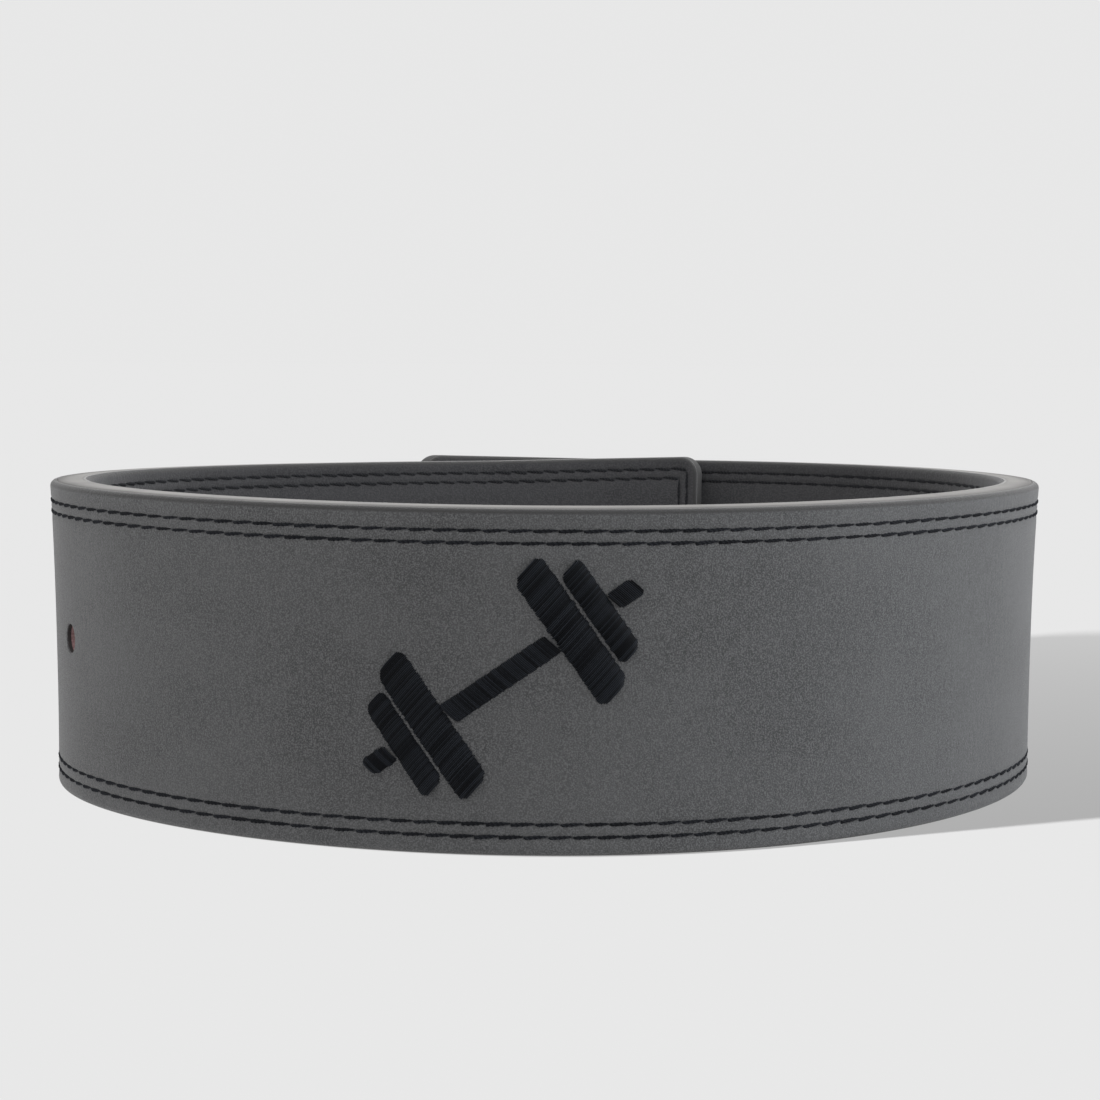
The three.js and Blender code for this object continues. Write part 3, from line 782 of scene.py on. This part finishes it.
satin, given = new_growth("satin_fill", {"Pitch": SATIN_PITCH, "Thread": SATIN_THREAD,
                                         "Crown": SATIN_CROWN, "Slant": SATIN_SLANT, "Seed": SATIN_SEED})
curve = add(satin, "GeometryNodeMeshToCurve", {"Mesh": given["Path"]}).outputs[0]
rows = add(satin, "GeometryNodeCurveToPoints", {"Curve": curve, "Length": given["Pitch"]}, mode="LENGTH")
lay = twisted_thread(satin, 2.0, given["Thread"], drop=given["Crown"], dive=SATIN_FALL,
                     twist=0.0, tail=0.0, points=SATIN_POINTS)
turned = add(satin, "FunctionNodeAlignRotationToVector", {"Vector": rows.outputs["Tangent"]},
             axis="Y", pivot_axis="Z").outputs[0]
turned = swing_round(satin, turned, given["Slant"])
reach = add(satin, "GeometryNodeInputNamedAttribute", {"Name": "reach"}, data_type="FLOAT").outputs[0]
uneven = {2: SATIN_UNEVEN[0], 3: SATIN_UNEVEN[1], "Seed": given["Seed"]}
uneven = add(satin, "FunctionNodeRandomValue", uneven, data_type="FLOAT").outputs[1]
reach = calculate(satin, "MULTIPLY", reach, uneven)
width = add(satin, "ShaderNodeCombineXYZ", {"X": reach, "Y": 1.0, "Z": 1.0}).outputs[0]
laid = {"Points": rows.outputs["Points"], "Instance": lay, "Rotation": turned, "Scale": width}
copies = add(satin, "GeometryNodeInstanceOnPoints", laid).outputs[0]
end_growth(satin, given, copies)

satin_thread = thread_finish("satin_thread", SATIN_COLOUR, SATIN_LIGHT, SATIN_GLOSS, SATIN_VARIETY)
emblem_middle = (STRAP_LENGTH / 2 + EMBLEM_SHIFT, STRAP_WIDTH / 2 + EMBLEM_RISE)


# Fills one shape of the emblem, a given way along the bar, with threads across its shorter side
def satin_shape(node, middle, along, across, corner, seed):
    upright = across > along
    length, width = (across, along) if upright else (along, across)
    places = np.linspace(-length / 2 + SATIN_THREAD, length / 2 - SATIN_THREAD, ROW_POINTS)
    reach = width / 2 - round_drop(length / 2 - np.abs(places), corner)
    cos, sin = math.cos(EMBLEM_TILT), math.sin(EMBLEM_TILT)
    bar = np.full(len(places), middle) if upright else middle + places
    off = places if upright else np.zeros(len(places))
    x = emblem_middle[0] + bar * cos - off * sin
    y = emblem_middle[1] + bar * sin + off * cos
    points = [(px, py, SATIN_CROWN) for px, py in zip(x, y)]
    edges = [(n, n + 1) for n in range(len(points) - 1)]
    piece = grow(node.replace("emblem", "satin"), satin, points, edges, satin_thread, reach,
                 Pitch=SATIN_PITCH, Thread=SATIN_THREAD, Crown=SATIN_CROWN, Slant=SATIN_SLANT, Seed=seed)
    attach(piece, "root")
    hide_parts(node)


satin_shape("emblem_grip", 0, *EMBLEM_GRIP, SATIN_SEED)
for side, sign in (("left", -1), ("right", 1)):
    edge = EMBLEM_GRIP[0] / 2
    for number, (name, along, across, corner) in enumerate(EMBLEM_SIDE):
        middle = edge + EMBLEM_GAP + along * EMBLEM_HEIGHT / 2
        edge = middle + along * EMBLEM_HEIGHT / 2
        sizes = [share * EMBLEM_HEIGHT for share in (along, across, corner)]
        satin_shape(f"emblem_{side}_{name}", sign * middle, *sizes, SIDE_SEED + number * 2 + sign)


# Lever buckle behind the ring, screwed to the outer end and hooked into a hole of the inner end.
# Cast steel with a satin black coat over faintly pebbled metal, and its edges broken by a file.

STEEL_COLOUR = (0.017, 0.0175, 0.019, 1)
STEEL_HANDLED = (0.030, 0.0305, 0.032, 1)
STEEL_ROUGHNESS = (0.46, 0.36)
STEEL_PEBBLE = 0.0007
STEEL_RELIEF = 0.00002
HANDLED_PATCH = 0.012
FLAT_ANGLE = math.radians(2)
BROKEN_EDGE = 0.0006
BROKEN_ANGLE = math.radians(32)

steel, tree, shader = new_finish("black_steel")
place = add(tree, "ShaderNodeTexCoord").outputs["Object"]
pebbles = speckle(tree, place, STEEL_PEBBLE, 2)
handled = ramp(tree, speckle(tree, place, HANDLED_PATCH, 3), 0.4, 0.7)
tree.links.new(blend(tree, handled, STEEL_COLOUR, STEEL_HANDLED), shader.inputs["Base Color"])
tree.links.new(ramp(tree, handled, 0, 1, *STEEL_ROUGHNESS), shader.inputs["Roughness"])
tree.links.new(relief(tree, pebbles, STEEL_RELIEF), shader.inputs["Normal"])

shape = bmesh.new()
shape.from_mesh(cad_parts["lever_buckle"].data)
bmesh.ops.remove_doubles(shape, verts=shape.verts, dist=0.00001)
bmesh.ops.dissolve_limit(shape, angle_limit=FLAT_ANGLE, verts=shape.verts, edges=shape.edges)
sharp = [edge for edge in shape.edges
         if len(edge.link_faces) == 2 and edge.calc_face_angle() > BROKEN_ANGLE]
bmesh.ops.bevel(shape, geom=sharp, offset=BROKEN_EDGE, segments=2, profile=0.5,
                affect="EDGES", clamp_overlap=True)
buckle_mesh = bpy.data.meshes.new("steel_buckle")
shape.to_mesh(buckle_mesh)
shape.free()
buckle_mesh.materials.append(steel)
buckle = finished_piece("steel_buckle", buckle_mesh)
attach(buckle, "root")
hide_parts("lever_buckle")


# Studio for the picture, no part of the belt.
# A seamless pale floor with a low lamp that casts the shadow on it, soft lamps that light the belt
# alone, and a camera low in front.

BELT_MIDDLE = 0.05
FLOOR_HALF = 40
FLOOR_LEVEL = 0.803
FLOOR_SHADE = (0.4575, 0.271)
SHADE_RANGE = (0.3, 0.6)
AMBIENT_LEVEL = 0.10
SOFTBOX_SIZE = (0.5, 0.7)
SOFTBOX_DISTANCE = 1
WHITE = (1, 1, 1)
COOL_WHITE = (0.93, 0.965, 1)
KEY_PLACE = (-0.77, -0.55, 0.34)
KEY_RADIUS = 0.02
KEY_STRENGTH = 852
KEY_LEVEL = 7.36
CAMERA_PLACE = (-0.00239, -0.850, 0.14028)
CAMERA_PITCH = 0.0767
CAMERA_ROLL = 0.0056
CAMERA_LENS = 82.56

floor_mesh = bpy.data.meshes.new("floor")
floor_mesh.from_pydata([(x * FLOOR_HALF, y * FLOOR_HALF, 0) for x, y in ((-1, -1), (1, -1), (1, 1), (-1, 1))],
                       [], [(0, 1, 2, 3)])
floor = bpy.data.objects.new("floor", floor_mesh)
bpy.context.scene.collection.objects.link(floor)
floor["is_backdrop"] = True

# The floor glows at the level of its shadow, which pales to the rear, and the key lamp adds the rest
pale, tree, shader = new_finish("pale_floor")
place = add(tree, "ShaderNodeTexCoord").outputs["Object"]
rearward = add(tree, "ShaderNodeSeparateXYZ", {"Vector": place}).outputs["Y"]
glow = calculate(tree, "MULTIPLY_ADD", rearward, FLOOR_SHADE[1], FLOOR_SHADE[0])
glow = calculate(tree, "MINIMUM", calculate(tree, "MAXIMUM", glow, SHADE_RANGE[0]), SHADE_RANGE[1])
tint = calculate(tree, "DIVIDE", calculate(tree, "SUBTRACT", FLOOR_LEVEL, glow), KEY_LEVEL)
diffuse = add(tree, "ShaderNodeBsdfDiffuse", {"Color": tint})
emission = add(tree, "ShaderNodeEmission", {"Color": glow})
both = add(tree, "ShaderNodeAddShader", {0: diffuse.outputs[0], 1: emission.outputs[0]})
tree.links.new(both.outputs[0], tree.nodes["Material Output"].inputs["Surface"])
floor_mesh.materials.append(pale)

# The world shows as the backdrop and in gloss, and lights only faintly
world = bpy.data.worlds.new("studio")
world.use_nodes = True
bpy.context.scene.world = world
tree = world.node_tree
path = add(tree, "ShaderNodeLightPath")
seen = calculate(tree, "MAXIMUM", path.outputs["Is Camera Ray"], path.outputs["Is Glossy Ray"])
level = ramp(tree, seen, 0, 1, AMBIENT_LEVEL, FLOOR_LEVEL)
tree.links.new(level, tree.nodes["Background"].inputs["Color"])

# The key lamp lights the floor alone, and the softboxes light the belt alone
floor_only = bpy.data.collections.new("floor_only")
floor_only.objects.link(floor)
belt_only = bpy.data.collections.new("belt_only")
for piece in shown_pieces():
    belt_only.objects.link(piece)

# Low lamp at the front left, as bright on the floor far away as near
key = bpy.data.objects.new("floor_key", bpy.data.lights.new("floor_key", "POINT"))
key.data.energy = 1
key.data.shadow_soft_size = KEY_RADIUS
key.data.use_nodes = True
tree = key.data.node_tree
ray = add(tree, "ShaderNodeLightPath").outputs["Ray Length"]
strength = calculate(tree, "MULTIPLY", ray, KEY_STRENGTH)
falloff = add(tree, "ShaderNodeLightFalloff", {"Strength": strength}).outputs["Constant"]
tree.links.new(falloff, tree.nodes["Emission"].inputs["Strength"])
key.location = KEY_PLACE
key.light_linking.receiver_collection = floor_only
bpy.context.scene.collection.objects.link(key)


# Softbox that faces the belt's middle, at a turn from the front, positive to the right, and a rise
def softbox(name, power, turn, rise, colour):
    turn, rise = math.radians(turn), math.radians(rise)
    way = Vector((math.sin(turn) * math.cos(rise), -math.cos(turn) * math.cos(rise), math.sin(rise)))
    place = Vector((0, 0, BELT_MIDDLE)) + way * SOFTBOX_DISTANCE
    lamp = bpy.data.objects.new(name, bpy.data.lights.new(name, "AREA"))
    lamp.data.shape = "RECTANGLE"
    lamp.data.size, lamp.data.size_y = SOFTBOX_SIZE
    lamp.data.energy = power
    lamp.data.color = colour
    lamp.location = place
    lamp.rotation_euler = (-way).to_track_quat("-Z", "Y").to_euler()
    lamp.light_linking.receiver_collection = belt_only
    bpy.context.scene.collection.objects.link(lamp)


softbox("left_box", 1.41, -75, 15, WHITE)
softbox("front_box", 1.13, -15, 15, WHITE)
softbox("right_box", 6.5, 75, 15, COOL_WHITE)
softbox("high_left_box", 2.88, -45, 50, WHITE)
softbox("high_right_box", 2.15, 45, 50, COOL_WHITE)
softbox("high_rear_box", 5.2, 135, 50, WHITE)
softbox("high_back_box", 3.5, -155, 55, WHITE)

camera = bpy.data.objects.new("camera", bpy.data.cameras.new("camera"))
camera.data.lens = CAMERA_LENS
camera.data.sensor_width = 36
camera.data.clip_start, camera.data.clip_end = 0.01, 200
camera.matrix_world = (
    Matrix.Translation(Vector(CAMERA_PLACE) + Vector((*ring_shift, 0)))
    @ Matrix.Rotation(math.pi / 2 - CAMERA_PITCH, 4, "X")
    @ Matrix.Rotation(CAMERA_ROLL, 4, "Z")
)
bpy.context.scene.collection.objects.link(camera)
bpy.context.scene.camera = camera
bpy.context.scene.view_settings.view_transform = "Standard"
